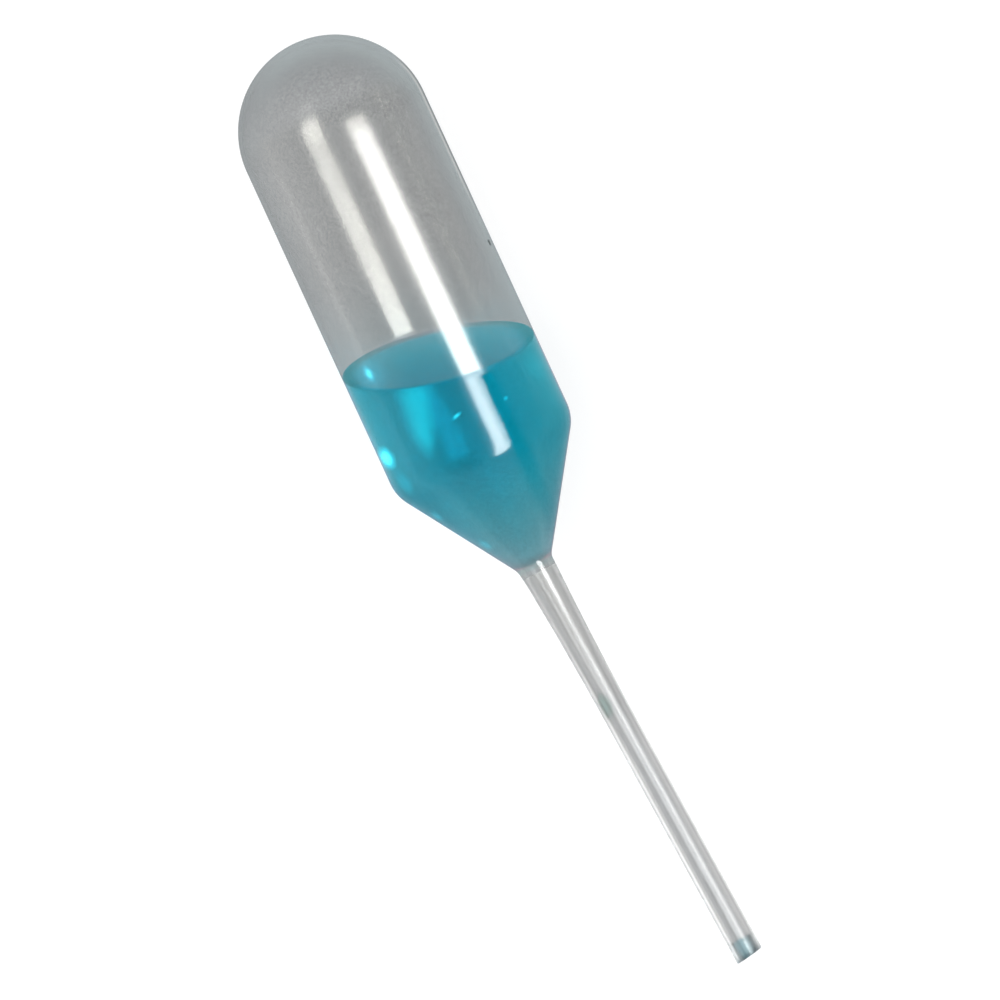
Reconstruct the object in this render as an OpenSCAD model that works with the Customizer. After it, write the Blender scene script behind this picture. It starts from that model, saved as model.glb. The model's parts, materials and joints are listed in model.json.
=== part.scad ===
// Squeeze pipette of translucent plastic, blown and drawn as one piece, lying on its side.
// The bulb's axis runs along X, the tip points to +X, and the stem leans towards +Y.
// Origin: middle of the overall box, on the surface that the bulb rests on.

/* [Bulb] */
// Outside diameter of the bulb and its dome
bulb_d = 20; // [14:0.5:30]
// Length from the dome's centre to the corner of the shoulder
bulb_len = 36.6; // [30:0.2:60]
// Wall of the dome, the bulb and the shoulder
bulb_wall = 0.5; // [0.3:0.05:0.9]
// Outside radius that rounds the shoulder's corner
shoulder_r = 4.6; // [1.5:0.1:6]
// Angle between the shoulder's cone and the axis
cone_angle = 33.3; // [27:0.1:42]

/* [Stem] */
// Outside diameter at the top of the stem, where the shoulder meets it
neck_d = 4.05; // [3.35:0.05:4.6]
// Bore at the top of the stem
neck_bore_d = 2.5; // [1.8:0.1:2.7]
// Outside diameter where the stem's first, steeper taper ends
waist_d = 3.38; // [3.2:0.02:3.8]
// Outside diameter of the drawn stem
stem_d = 3; // [2.5:0.1:3.6]
// Bore of the drawn stem
stem_bore_d = 1.5; // [1:0.1:1.8]
// Length of the first, steeper taper, from the bend
waist_len = 8; // [5:0.5:12]
// Length over which the stem tapers in all, from the bend
taper_len = 23; // [15:0.5:28]
// Length of the stem, from the bend to the tip
stem_len = 47.6; // [36:0.2:80]
// How far above the neck the stem's axis leaves the bulb's axis
bend_inset = 1.5; // [1:0.1:2.4]
// Angle of the stem to the bulb's axis
bend_angle = 4; // [0:0.5:7]
// How far off square the tip is cut
tip_cut_angle = 6.8; // [0:0.2:20]

/* [Liquid] */
// Distance of the liquid's surface from the dome's centre, along the axis
surface_at = 25.3; // [16:0.1:29]
// Lean of that surface towards the tip, on the side that the stem leans to
surface_lean_side = 10.2; // [-20:0.2:20]
// Lean of that surface towards the tip, at the top of the bulb
surface_lean_top = 16.4; // [-20:0.2:20]
// Distance from the neck back to where the liquid's lower end meets the wall
lower_rim_inset = 0.5; // [0.3:0.1:1.2]
// Height by which the liquid's lower end bulges towards the tip
lower_bulge = 0.4; // [0.2:0.05:0.6]
// Distance of the droplet's middle from the bend
droplet_at = 17.9; // [12:0.1:30]
// Length of the droplet along the bore's wall
droplet_len = 2.7; // [1.8:0.1:4]
// Height of the droplet over the bore's wall
droplet_h = 0.8; // [0.3:0.05:1]
// Length of the liquid plug held in the tip
plug_len = 1.95; // [1:0.05:5]
// Depth of the dish at the plug's inner end
plug_dish = 0.2; // [0.1:0.05:0.4]
// Gap between each liquid and the plastic around it
wet_gap = 0.05; // [0.02:0.01:0.1]

/* [Hidden] */
$fn = 96;
// Reach of a cutting shape past what it cuts
past = 1;

bulb_r = bulb_d / 2;
neck_r = neck_d / 2;
neck_bore_r = neck_bore_d / 2;
waist_r = waist_d / 2;
stem_r = stem_d / 2;
stem_bore_r = stem_bore_d / 2;

// The shoulder's cone runs from its corner to the neck, and the stem's axis starts a little above.
neck_at = along_cone(neck_r, 0);
bend_at = neck_at - bend_inset;

// The bulb lies on the surface below it, and the overall box is centred along X.
tip_far = stem_len + stem_r * tan(tip_cut_angle);
box_end = bend_at + tip_far * cos(bend_angle) + stem_r * sin(bend_angle);
middle = (box_end - bulb_r) / 2;

// The shoulder's round has one centre for every inset, so it starts at one place on the straight wall.
round_centre_r = bulb_r - shoulder_r;
round_at = bulb_len - shoulder_r * tan(cone_angle / 2);
// The round stands this much proud of both straight stretches, so that its arc crosses them cleanly.
round_proud = 0.001;

// Radius of the shoulder's cone, taken in by inset, at a distance from the dome's centre.
function cone_r(along, inset) = bulb_r - inset / cos(cone_angle) - (along - bulb_len) * tan(cone_angle);

// Distance from the dome's centre at which that cone has a given radius.
function along_cone(r, inset) = bulb_len + (bulb_r - inset / cos(cone_angle) - r) / tan(cone_angle);

// Radius of the ball whose cap has a given rim radius and height.
function cap_r(rim_r, height) = (rim_r * rim_r + height * height) / (2 * height);

// Lays a shape that runs up Z from the dome's centre along the bulb's axis.
module along_bulb() {
    translate([-middle, 0, bulb_r]) rotate([0, 90, 0]) children();
}

// The same along the stem's axis, from the bend.
module along_stem() {
    along_bulb() translate([0, 0, bend_at]) rotate([-bend_angle, 0, 0]) children();
}

// Half section of the bulb, taken in by inset, down to where its cone has end_r.
module bulb_section(inset, end_r) {
    r = bulb_r - inset;
    round_r = shoulder_r - inset;
    end_at = along_cone(end_r, inset);
    intersection() {
        circle(r);
        translate([0, -r]) square(r);
    }
    polygon([
        [0, 0],
        [r, 0],
        [r, round_at],
        [round_centre_r + round_r * cos(cone_angle), round_at + round_r * sin(cone_angle)],
        [end_r, end_at],
        [0, end_at]
    ]);
    translate([round_centre_r, round_at]) intersection() {
        circle(round_r + round_proud);
        translate([0, -2 * round_r]) square([2 * round_r, 4 * round_r]);
    }
}

// Half section of the stem's outside, from the bend to past the tip.
module stem_section() {
    end_at = tip_far + past;
    polygon([
        [0, 0],
        [neck_r, 0],
        [waist_r, waist_len],
        [stem_r, taper_len],
        [stem_r, end_at],
        [0, end_at]
    ]);
}

// Half section of the stem's bore, taken in by inset, from the bend to past the outside's end.
module bore_section(inset) {
    end_at = tip_far + 2 * past;
    polygon([
        [0, 0],
        [neck_bore_r - inset, 0],
        [stem_bore_r - inset, taper_len],
        [stem_bore_r - inset, end_at],
        [0, end_at]
    ]);
}

// Everything past the slanting cut of the tip.
module past_tip() {
    side = 4 * stem_d;
    along_stem() translate([0, 0, stem_len]) rotate([-tip_cut_angle, 0, 0])
        translate([-side / 2, -side / 2, 0]) cube(side);
}

// Everything on the tip's side of the liquid's surface in the bulb.
module below_surface() {
    side = 2 * (neck_at + bulb_d);
    turn_up = atan(tan(surface_lean_top) * cos(surface_lean_side));
    translate([surface_at - middle, 0, bulb_r]) rotate([0, turn_up, -surface_lean_side])
        translate([0, -side / 2, -side / 2]) cube(side);
}

// The whole pipette: dome, bulb, shoulder, neck and stem, hollow from the dome to the open tip.
module pipette_body() {
    color([0.86, 0.89, 0.9, 0.45]) difference() {
        union() {
            along_bulb() rotate_extrude() bulb_section(0, stem_r);
            along_stem() rotate_extrude() stem_section();
        }
        along_bulb() rotate_extrude() bulb_section(bulb_wall, stem_bore_r);
        along_stem() rotate_extrude() bore_section(0);
        past_tip();
    }
}

// The liquid in the bulb: a leaning flat surface above, and a rounded lower end at the neck.
module bulb_liquid() {
    inset = bulb_wall + wet_gap;
    rim_at = neck_at - lower_rim_inset;
    rim_r = cone_r(rim_at, inset);
    ball_r = cap_r(rim_r, lower_bulge);
    color([0.16, 0.62, 0.72, 0.8]) intersection() {
        along_bulb() rotate_extrude() difference() {
            bulb_section(inset, stem_bore_r);
            difference() {
                translate([0, rim_at - lower_bulge]) square([2 * rim_r, neck_at]);
                translate([0, rim_at + lower_bulge - ball_r]) circle(ball_r);
            }
        }
        below_surface();
    }
}

// The droplet on the bore's wall, on the side away from the stem's lean.
module stem_droplet() {
    ball_r = cap_r(droplet_len / 2, droplet_h);
    wall_r = stem_bore_r + (neck_bore_r - stem_bore_r) * max(0, 1 - droplet_at / taper_len);
    color([0.35, 0.6, 0.58, 0.6]) intersection() {
        along_stem() rotate_extrude() bore_section(wet_gap);
        along_stem() translate([0, wet_gap + droplet_h - wall_r - ball_r, droplet_at]) sphere(ball_r);
    }
}

// The liquid that stands in the open tip, flush with its cut.
module tip_liquid() {
    r = stem_bore_r - wet_gap;
    ball_r = cap_r(r, plug_dish);
    dish_at = stem_len - plug_len + plug_dish - ball_r;
    color([0.25, 0.6, 0.68, 0.8]) difference() {
        along_stem() translate([0, 0, dish_at]) cylinder(r = r, h = tip_far + past - dish_at);
        along_stem() translate([0, 0, dish_at]) sphere(ball_r);
        past_tip();
    }
}

pipette_body();
bulb_liquid();
stem_droplet();
tip_liquid();
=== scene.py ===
"""A squeeze pipette of clear plastic, part filled with blue-green liquid, on a pale bench."""

import json
import logging
import math
from dataclasses import dataclass, field
from enum import Enum
from typing import Any, ClassVar, Iterable

import bmesh
import bpy
from mathutils import Euler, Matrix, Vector


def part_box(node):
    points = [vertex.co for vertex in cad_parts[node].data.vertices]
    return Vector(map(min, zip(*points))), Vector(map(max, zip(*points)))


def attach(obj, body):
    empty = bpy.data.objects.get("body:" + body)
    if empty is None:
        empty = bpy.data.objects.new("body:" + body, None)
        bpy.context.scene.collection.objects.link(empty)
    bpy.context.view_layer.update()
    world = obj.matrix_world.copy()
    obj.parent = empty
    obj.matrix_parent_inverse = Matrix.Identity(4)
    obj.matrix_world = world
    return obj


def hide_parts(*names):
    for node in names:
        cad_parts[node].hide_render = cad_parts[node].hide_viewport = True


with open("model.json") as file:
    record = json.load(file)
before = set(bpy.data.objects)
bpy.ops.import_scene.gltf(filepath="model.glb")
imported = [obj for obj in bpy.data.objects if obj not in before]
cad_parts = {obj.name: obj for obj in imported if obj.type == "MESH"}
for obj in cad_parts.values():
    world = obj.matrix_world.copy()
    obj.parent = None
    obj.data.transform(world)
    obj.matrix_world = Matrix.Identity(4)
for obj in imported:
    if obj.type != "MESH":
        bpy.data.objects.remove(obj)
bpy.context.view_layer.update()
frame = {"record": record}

MM = 0.001

log = logging.getLogger("pipette")

Colour = tuple[float, float, float]
Point = tuple[float, float]
Sockets = dict[str | int, Any]

BLACK: Colour = (0.0, 0.0, 0.0)
WHITE: Colour = (1.0, 1.0, 1.0)


# ---------------------------------------------------------------- node trees


class Wire:
    """One output of a node, on which Python arithmetic adds the Math nodes."""

    def __init__(self, bench: "Bench", socket: bpy.types.NodeSocket) -> None:
        """Keeps the socket and the bench of its tree."""
        self.bench = bench
        self.socket = socket

    def __add__(self, other: Any) -> "Wire":
        """This plus other."""
        return self.bench.maths("ADD", self, other)

    __radd__ = __add__

    def __sub__(self, other: Any) -> "Wire":
        """This less other."""
        return self.bench.maths("SUBTRACT", self, other)

    def __rsub__(self, other: Any) -> "Wire":
        """Other less this."""
        return self.bench.maths("SUBTRACT", other, self)

    def __mul__(self, other: Any) -> "Wire":
        """This times other."""
        return self.bench.maths("MULTIPLY", self, other)

    __rmul__ = __mul__

    def __truediv__(self, other: Any) -> "Wire":
        """This over other."""
        return self.bench.maths("DIVIDE", self, other)

    def __rtruediv__(self, other: Any) -> "Wire":
        """Other over this."""
        return self.bench.maths("DIVIDE", other, self)

    def __abs__(self) -> "Wire":
        """This without its sign."""
        return self.bench.maths("ABSOLUTE", self)

    def root(self) -> "Wire":
        """The square root of this."""
        return self.bench.maths("SQRT", self)

    def most(self, other: Any) -> "Wire":
        """The larger of this and other."""
        return self.bench.maths("MAXIMUM", self, other)

    def least(self, other: Any) -> "Wire":
        """The smaller of this and other."""
        return self.bench.maths("MINIMUM", self, other)

    def eased(self, start: Any, end: Any, low: float = 0.0, high: float = 1.0) -> "Wire":
        """Goes smoothly from low to high while this goes from start to end."""
        sockets = {"Value": self, "From Min": start, "From Max": end, "To Min": low, "To Max": high}
        return self.bench.add("ShaderNodeMapRange", {"interpolation_type": "SMOOTHSTEP"}, sockets)

    def falling(self, start: Any, end: Any) -> "Wire":
        """Goes smoothly from one to nought while this goes from start to end."""
        return self.eased(start, end, 1.0, 0.0)


class Bench:
    """Adds nodes to one shader, world or geometry tree."""

    def __init__(self, tree: bpy.types.NodeTree) -> None:
        """Keeps the tree that the nodes go into."""
        self.tree = tree

    @staticmethod
    def pick(sockets: Any, key: str | int) -> bpy.types.NodeSocket:
        """Finds a socket.

        Args:
            sockets: A node's inputs or outputs.
            key: The socket's index, identifier or name.

        Returns:
            The socket.
        """
        if isinstance(key, int):
            return sockets[key]
        for socket in sockets:
            if socket.identifier == key:
                return socket
        return sockets[key]

    def node(
        self, kind: str, settings: dict[str, Any] | None = None, sockets: Sockets | None = None
    ) -> bpy.types.Node:
        """Adds one node, sets it up and fills its inputs.

        Args:
            kind: The node's type.
            settings: The node's own settings.
            sockets: What goes to each input, as a plain value or a wire.

        Returns:
            The node.
        """
        made = self.tree.nodes.new(kind)
        for name, value in (settings or {}).items():
            setattr(made, name, value)
        for key, value in (sockets or {}).items():
            into = self.pick(made.inputs, key)
            if isinstance(value, Wire):
                self.tree.links.new(value.socket, into)
            elif isinstance(value, tuple) and into.type == "RGBA":
                into.default_value = (*value, 1.0)
            else:
                into.default_value = value
        return made

    def add(
        self,
        kind: str,
        settings: dict[str, Any] | None = None,
        sockets: Sockets | None = None,
        output: str | int = 0,
    ) -> Wire:
        """Adds one node, as node does, and gives one of its outputs."""
        return Wire(self, self.pick(self.node(kind, settings, sockets).outputs, output))

    def maths(self, operation: str, *inputs: Any) -> Wire:
        """The result of a Math node on these values or wires."""
        return self.add("ShaderNodeMath", {"operation": operation}, dict(enumerate(inputs)))

    def parts(self, vector: Wire) -> tuple[Wire, Wire, Wire]:
        """Takes a vector apart into X, Y and Z."""
        split = self.node("ShaderNodeSeparateXYZ", None, {0: vector})
        return tuple(Wire(self, output) for output in split.outputs)

    def joined(self, x: Any, y: Any, z: Any) -> Wire:
        """Puts X, Y and Z together into a vector."""
        return self.add("ShaderNodeCombineXYZ", None, {0: x, 1: y, 2: z})

    def place(self) -> Wire:
        """The object's own coordinates, in metres."""
        return self.add("ShaderNodeTexCoord", None, None, "Object")

    def aslant(self) -> Wire:
        """How far the surface turns away: nought face on, and one edge on."""
        return self.add("ShaderNodeLayerWeight", None, {"Blend": 0.5}, "Facing")

    def noise(self, vector: Wire, scale: float, detail: float, rough: float) -> Wire:
        """A cloudy pattern from nought to one, where scale is its clouds to a metre."""
        sockets = {"Vector": vector, "Scale": scale, "Detail": detail, "Roughness": rough}
        return self.add("ShaderNodeTexNoise", None, sockets)

    def blend(self, share: Any, first: Any, second: Any) -> Wire:
        """Mixes two colours, where share is the second's."""
        sockets = {"Factor_Float": share, "A_Color": first, "B_Color": second}
        return self.add("ShaderNodeMix", {"data_type": "RGBA"}, sockets, "Result_Color")

    def mixed(self, share: Any, first: Wire, second: Wire) -> Wire:
        """Mixes two shaders, where share is the second's."""
        return self.add("ShaderNodeMixShader", None, {0: share, 1: first, 2: second})

    def film(self, tint: Colour) -> Wire:
        """A shader that lets the view straight through and tints it."""
        return self.add("ShaderNodeBsdfTransparent", None, {"Color": tint})

    def layered(self, under: Wire, *layers: tuple[Wire, Colour]) -> Wire:
        """Lays tinted films in place of a shader, one after another.

        Args:
            under: The shader at the start.
            layers: Each film's share and tint.

        Returns:
            The shader with the films.
        """
        for share, tint in layers:
            under = self.mixed(share, under, self.film(tint))
        return under

    def bump(self, height: Wire, distance: float) -> Wire:
        """The normal of a height from nought to one, where one stands for distance in metres."""
        sockets = {"Strength": 1.0, "Distance": distance, "Height": height}
        return self.add("ShaderNodeBump", None, sockets)


# ---------------------------------------------------------------- sizes


@dataclass(frozen=True)
class Slope:
    """How a turned shape's end leans, to the side and up, and where that starts and is whole."""

    side: float = 0.0
    top: float = 0.0
    start: float = 0.0
    whole: float = 1.0

    def labelled(self) -> dict[str, float]:
        """Each number by the name of the lathe's input for it."""
        return {f"Slope {name.title()}": value for name, value in vars(self).items()}


@dataclass(frozen=True)
class PipetteSizes:
    """The pipette's own sizes, in metres.

    Along is measured from the dome's centre down the bulb's axis, and then down the stem's.
    """

    dome_centre: Vector
    bulb_r: float
    stem_r: float
    bend_angle: float
    tip_at: float
    wall: float = 0.5 * MM
    corner_at: float = 36.6 * MM
    shoulder_r: float = 4.6 * MM
    cone_angle: float = math.radians(33.3)
    neck_r: float = 2.025 * MM
    neck_bore_r: float = 1.25 * MM
    waist_r: float = 1.69 * MM
    stem_bore_r: float = 0.75 * MM
    waist_len: float = 8.0 * MM
    taper_len: float = 23.0 * MM
    bend_inset: float = 1.5 * MM
    tip_cut_angle: float = math.radians(6.8)
    surface_at: float = 25.3 * MM
    surface_side: float = math.tan(math.radians(10.2))
    surface_top: float = math.tan(math.radians(16.4))
    lower_rim_inset: float = 0.35 * MM
    lower_bulge: float = 0.55 * MM
    droplet_at: float = 17.9 * MM
    droplet_len: float = 2.7 * MM
    droplet_h: float = 0.8 * MM
    droplet_spread: float = math.radians(62)
    plug_len: float = 1.95 * MM
    plug_dish: float = 0.2 * MM

    @classmethod
    def from_frame(cls, record: dict[str, Any]) -> "PipetteSizes":
        """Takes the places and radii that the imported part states.

        Args:
            record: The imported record, whose mounts are the bulb and the stem.

        Returns:
            The sizes.
        """
        mounts = {mount["name"]: mount for mount in record["mounts"]}
        low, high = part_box("pipette_body")
        bulb_r = mounts["bulb"]["dims"]["r_mm"] * MM
        stem_r = mounts["stem"]["dims"]["r_mm"] * MM
        way = Vector(mounts["stem"]["axis"])
        angle = math.atan2(way.y, way.x)
        centre = Vector((low.x + bulb_r, 0.0, (low.z + high.z) / 2))
        bend = cls.corner_at + (bulb_r - cls.neck_r) / math.tan(cls.cone_angle) - cls.bend_inset
        reach = high.x - centre.x - bend - stem_r * math.sin(angle)
        tip = reach / math.cos(angle) - stem_r * math.tan(cls.tip_cut_angle)
        return cls(centre, bulb_r, stem_r, angle, bend + tip)

    @property
    def neck_at(self) -> float:
        """Where the cone has the neck's radius."""
        return self.corner_at + (self.bulb_r - self.neck_r) / math.tan(self.cone_angle)

    @property
    def bend_at(self) -> float:
        """Where the stem's axis leaves the bulb's."""
        return self.neck_at - self.bend_inset

    @property
    def taper_power(self) -> float:
        """How fast the stem slims, so that the waist has its radius."""
        slim = math.log((self.waist_r - self.stem_r) / (self.neck_r - self.stem_r))
        return slim / math.log(1.0 - self.waist_len / self.taper_len)

    def cone_radius(self, along: float, inset: float = 0.0) -> float:
        """The shoulder cone's radius, taken in by inset."""
        widest = self.bulb_r - inset / math.cos(self.cone_angle)
        return widest - (along - self.corner_at) * math.tan(self.cone_angle)

    def cone_along(self, radius: float, inset: float = 0.0) -> float:
        """Where the shoulder's cone, taken in by inset, has this radius."""
        widest = self.bulb_r - inset / math.cos(self.cone_angle)
        return self.corner_at + (widest - radius) / math.tan(self.cone_angle)

    def stem_radius(self, past: float) -> float:
        """The stem's outside radius at this distance past the bend."""
        left = (1.0 - past / self.taper_len) ** self.taper_power
        return self.stem_r + (self.neck_r - self.stem_r) * left

    def tip_cut(self, start: float, whole: float) -> Slope:
        """The slant of the tip's end, with where it starts and is whole given back from the tip."""
        slant = -math.tan(self.tip_cut_angle)
        return Slope(slant, 0.0, self.tip_at - start, self.tip_at - whole)

    def bore_radius(self, along: float) -> float:
        """The bore's radius at this place on the stem."""
        share = min(max((along - self.bend_at) / self.taper_len, 0.0), 1.0)
        return self.neck_bore_r + (self.stem_bore_r - self.neck_bore_r) * share


# ---------------------------------------------------------------- turned shapes


def put(name: str, data: bpy.types.ID) -> bpy.types.Object:
    """Puts a new object into the scene, unmoved.

    Args:
        name: The object's name.
        data: Its mesh, lamp or camera.

    Returns:
        The object.
    """
    made = bpy.data.objects.new(name, data)
    bpy.context.scene.collection.objects.link(made)
    return made


class Zone(Enum):
    """The stretches of a turned outline, each with a finish of its own."""

    SKIN = 0
    LINING = 1
    TUBE = 2
    BORE = 3

    @property
    def label(self) -> str:
        """The name of the lathe's input for this zone's material."""
        return self.name.title()


@dataclass
class Outline:
    """Half of a turned shape's section, as points of distance along the axis and radius."""

    points: list[Point] = field(default_factory=list)
    zones: list[int] = field(default_factory=list)

    SAME_POINT: ClassVar[float] = 1e-7
    NEARLY_STRAIGHT: ClassVar[float] = math.radians(89.9)

    def extend(self, points: Iterable[Point], zone: Zone, step: float = 1.2 * MM) -> None:
        """Adds a stretch, with its long straight pieces divided.

        Args:
            points: The stretch's points, in order.
            zone: Which finish the faces after each point have.
            step: The longest piece that is left whole.
        """
        for point in points:
            if self.points:
                last = self.points[-1]
                gap = math.dist(last, point)
                if gap < self.SAME_POINT:
                    continue
                pieces = max(1, math.ceil(gap / step))
                for i in range(1, pieces):
                    share = i / pieces
                    self.points.append(tuple(a + (b - a) * share for a, b in zip(last, point)))
                    self.zones.append(zone.value)
            self.points.append(point)
            self.zones.append(zone.value)

    @staticmethod
    def arc(centre: float, radius: float, start: float, end: float, steps: int) -> list[Point]:
        """Points on an arc about a place on the axis. Its angles go from the tip outwards."""
        turns = [start + (end - start) * i / steps for i in range(steps + 1)]
        return [(centre + radius * math.cos(t), max(radius * math.sin(t), 0.0)) for t in turns]

    @classmethod
    def rounded(cls, corners: list[tuple[float, float, float]], steps: int) -> list[Point]:
        """Rounds the inner corners of a line.

        Args:
            corners: Each corner's place, radius and rounding radius. The first and last are ends.
            steps: How many pieces each round has.

        Returns:
            The rounded line's points.
        """
        made: list[Point] = [corners[0][:2]]
        for before, (x, y, r), after in zip(corners, corners[1:], corners[2:]):
            here = Vector((x, y))
            back = (Vector(before[:2]) - here).normalized()
            on = (Vector(after[:2]) - here).normalized()
            half = back.angle(on) / 2
            if r <= 0 or half > cls.NEARLY_STRAIGHT:
                made.append((x, y))
                continue
            reach = r / math.tan(half)
            middle = here + (back + on).normalized() * (r / math.sin(half))
            first = here + back * reach - middle
            last = here + on * reach - middle
            turn = first.angle_signed(last)
            for i in range(steps + 1):
                spin = -turn * i / steps
                cos, sin = math.cos(spin), math.sin(spin)
                along = middle.x + first.x * cos - first.y * sin
                made.append((along, middle.y + first.x * sin + first.y * cos))
        made.append(corners[-1][:2])
        return made

    def mesh(self, name: str) -> bpy.types.Mesh:
        """The outline as a chain of edges that holds each point's zone.

        Args:
            name: The mesh's name.

        Returns:
            The mesh.
        """
        made = bpy.data.meshes.new(name)
        edges = [(i, i + 1) for i in range(len(self.points) - 1)]
        made.from_pydata([(along, 0.0, radius) for along, radius in self.points], edges, [])
        made.attributes.new("zone", "INT", "POINT").data.foreach_set("value", self.zones)
        return made


@dataclass
class Lathe:
    """Turns outlines about the pipette's bent axis with Geometry Nodes."""

    sizes: PipetteSizes
    group: bpy.types.NodeTree | None = None
    names: dict[str, str] = field(default_factory=dict)

    INPUTS: ClassVar[dict[str, str]] = {
        "Outline": "NodeSocketGeometry",
        "Segments": "NodeSocketInt",
        "Start": "NodeSocketVector",
        **dict.fromkeys(("Bend At", "Bend Angle", "Bend Ease"), "NodeSocketFloat"),
        **dict.fromkeys(Slope().labelled(), "NodeSocketFloat"),
        **{zone.label: "NodeSocketMaterial" for zone in Zone},
    }
    NUDGE: ClassVar[float] = 1e-4
    SAME_POINT: ClassVar[float] = 1e-6

    def build(self) -> None:
        """Makes the tree: a grid is laid on the outline, turned, sloped and bent."""
        self.group = bpy.data.node_groups.new("turned_shape", "GeometryNodeTree")
        interface = self.group.interface
        for name, kind in self.INPUTS.items():
            socket = interface.new_socket(name, in_out="INPUT", socket_type=kind)
            self.names[name] = socket.identifier
        interface.new_socket("Shape", in_out="OUTPUT", socket_type="NodeSocketGeometry")
        bench = Bench(self.group)
        given = bench.node("NodeGroupInput")
        take = {socket.name: Wire(bench, socket) for socket in given.outputs if socket.name}
        outline, segments = take["Outline"], take["Segments"]

        count = bench.add(
            "GeometryNodeAttributeDomainSize", {"component": "MESH"}, {0: outline}, "Point Count"
        )
        spokes = segments + 1.0
        size = {"Vertices X": count, "Vertices Y": spokes}
        grid = bench.add("GeometryNodeMeshGrid", None, size, "Mesh")
        index = bench.add("GeometryNodeInputIndex")
        ring = bench.maths("FLOOR", index / spokes + self.NUDGE)
        spot = self.sampled("FLOAT_VECTOR", outline, bench.add("GeometryNodeInputPosition"), ring)
        along, _, radius = bench.parts(spot)
        turn = (index - ring * spokes) / segments * math.tau
        side, top = radius * bench.maths("SINE", turn), radius * bench.maths("COSINE", turn)
        lean = take["Slope Side"] * side + take["Slope Top"] * top
        along = along + lean * along.eased(take["Slope Start"], take["Slope Whole"])
        place = self.bent(take, along, side, top)

        zone = bench.add("GeometryNodeInputNamedAttribute", {"data_type": "INT"}, {"Name": "zone"})
        face_ring = bench.maths("FLOOR", index / segments + self.NUDGE) + 1.0
        face_zone = self.sampled("INT", outline, zone, face_ring)
        marks = {"Geometry": grid, "Name": "zone", "Value": face_zone}
        marking = {"data_type": "INT", "domain": "FACE"}
        shape = bench.add("GeometryNodeStoreNamedAttribute", marking, marks)
        shape = bench.add("GeometryNodeSetPosition", None, {"Geometry": shape, "Position": place})
        merging = {"Geometry": shape, "Distance": self.SAME_POINT}
        shape = bench.add("GeometryNodeMergeByDistance", None, merging)
        shape = bench.add("GeometryNodeRealizeInstances", None, {"Geometry": shape})
        for each in Zone:
            test = {"data_type": "INT", "operation": "EQUAL"}
            here = bench.add("FunctionNodeCompare", test, {"A_INT": zone, "B_INT": each.value})
            dress = {"Geometry": shape, "Selection": here, "Material": take[each.label]}
            shape = bench.add("GeometryNodeSetMaterial", None, dress)
        bench.node("NodeGroupOutput", None, {0: shape})

    @staticmethod
    def sampled(kind: str, outline: Wire, value: Wire, index: Wire) -> Wire:
        """A value of this kind at the outline's point that has this index."""
        sockets = {"Geometry": outline, "Value": value, "Index": index}
        return outline.bench.add("GeometryNodeSampleIndex", {"data_type": kind}, sockets)

    @staticmethod
    def bent(take: dict[str, Wire], along: Wire, side: Wire, top: Wire) -> Wire:
        """Bends a place about the point where the stem leaves the bulb's axis.

        Args:
            take: The tree's inputs.
            along: The distance from the dome's centre.
            side: The distance to the side.
            top: The height.

        Returns:
            The place in the frame.
        """
        bench = along.bench
        past = along - take["Bend At"]
        cos, sin = (bench.maths(kind, take["Bend Angle"]) for kind in ("COSINE", "SINE"))
        bent_along = take["Bend At"] + past * cos - side * sin
        bent_side = past * sin + side * cos
        share = past.eased(0.0, take["Bend Ease"])
        x = along + (bent_along - along) * share
        y = side + (bent_side - side) * share
        sockets = {0: bench.joined(x, y, top), 1: take["Start"]}
        return bench.add("ShaderNodeVectorMath", {"operation": "ADD"}, sockets)

    def turn(
        self,
        name: str,
        outline: Outline,
        finishes: dict[Zone, bpy.types.Material],
        slope: Slope = Slope(),
        segments: int = 144,
    ) -> bpy.types.Object:
        """Turns an outline into a plain closed mesh.

        Args:
            name: The piece's name.
            outline: The half section.
            finishes: The material of each zone that the outline has.
            slope: How the piece's end leans.
            segments: How many faces go round.

        Returns:
            The piece.
        """
        if self.group is None:
            self.build()
        piece = put(name, outline.mesh(name + "_outline"))
        lathe = piece.modifiers.new("Turned", "NODES")
        lathe.node_group = self.group
        plain = next(iter(finishes.values()))
        values: dict[str, Any] = {
            "Segments": segments,
            "Start": self.sizes.dome_centre,
            "Bend At": self.sizes.bend_at,
            "Bend Angle": self.sizes.bend_angle,
            "Bend Ease": 2.0 * self.sizes.bend_inset,
            **slope.labelled(),
            **{zone.label: finishes.get(zone, plain) for zone in Zone},
        }
        for key, value in values.items():
            lathe[self.names[key]] = value
        ready = piece.evaluated_get(bpy.context.evaluated_depsgraph_get())
        made = bpy.data.meshes.new_from_object(ready)
        piece.modifiers.clear()
        piece.data = made
        made.name = name
        return tidy(piece)


def tidy(piece: bpy.types.Object) -> bpy.types.Object:
    """Makes a closed piece's faces point outwards and shades it smooth.

    Args:
        piece: The piece, whose mesh is changed.

    Returns:
        The same piece.
    """
    work = bmesh.new()
    work.from_mesh(piece.data)
    loose = [vertex for vertex in work.verts if not vertex.link_faces]
    bmesh.ops.delete(work, geom=loose, context="VERTS")
    if work.calc_volume(signed=True) < 0:
        bmesh.ops.reverse_faces(work, faces=work.faces)
    for face in work.faces:
        face.smooth = True
    work.to_mesh(piece.data)
    work.free()
    return piece


# ---------------------------------------------------------------- finishes


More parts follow.
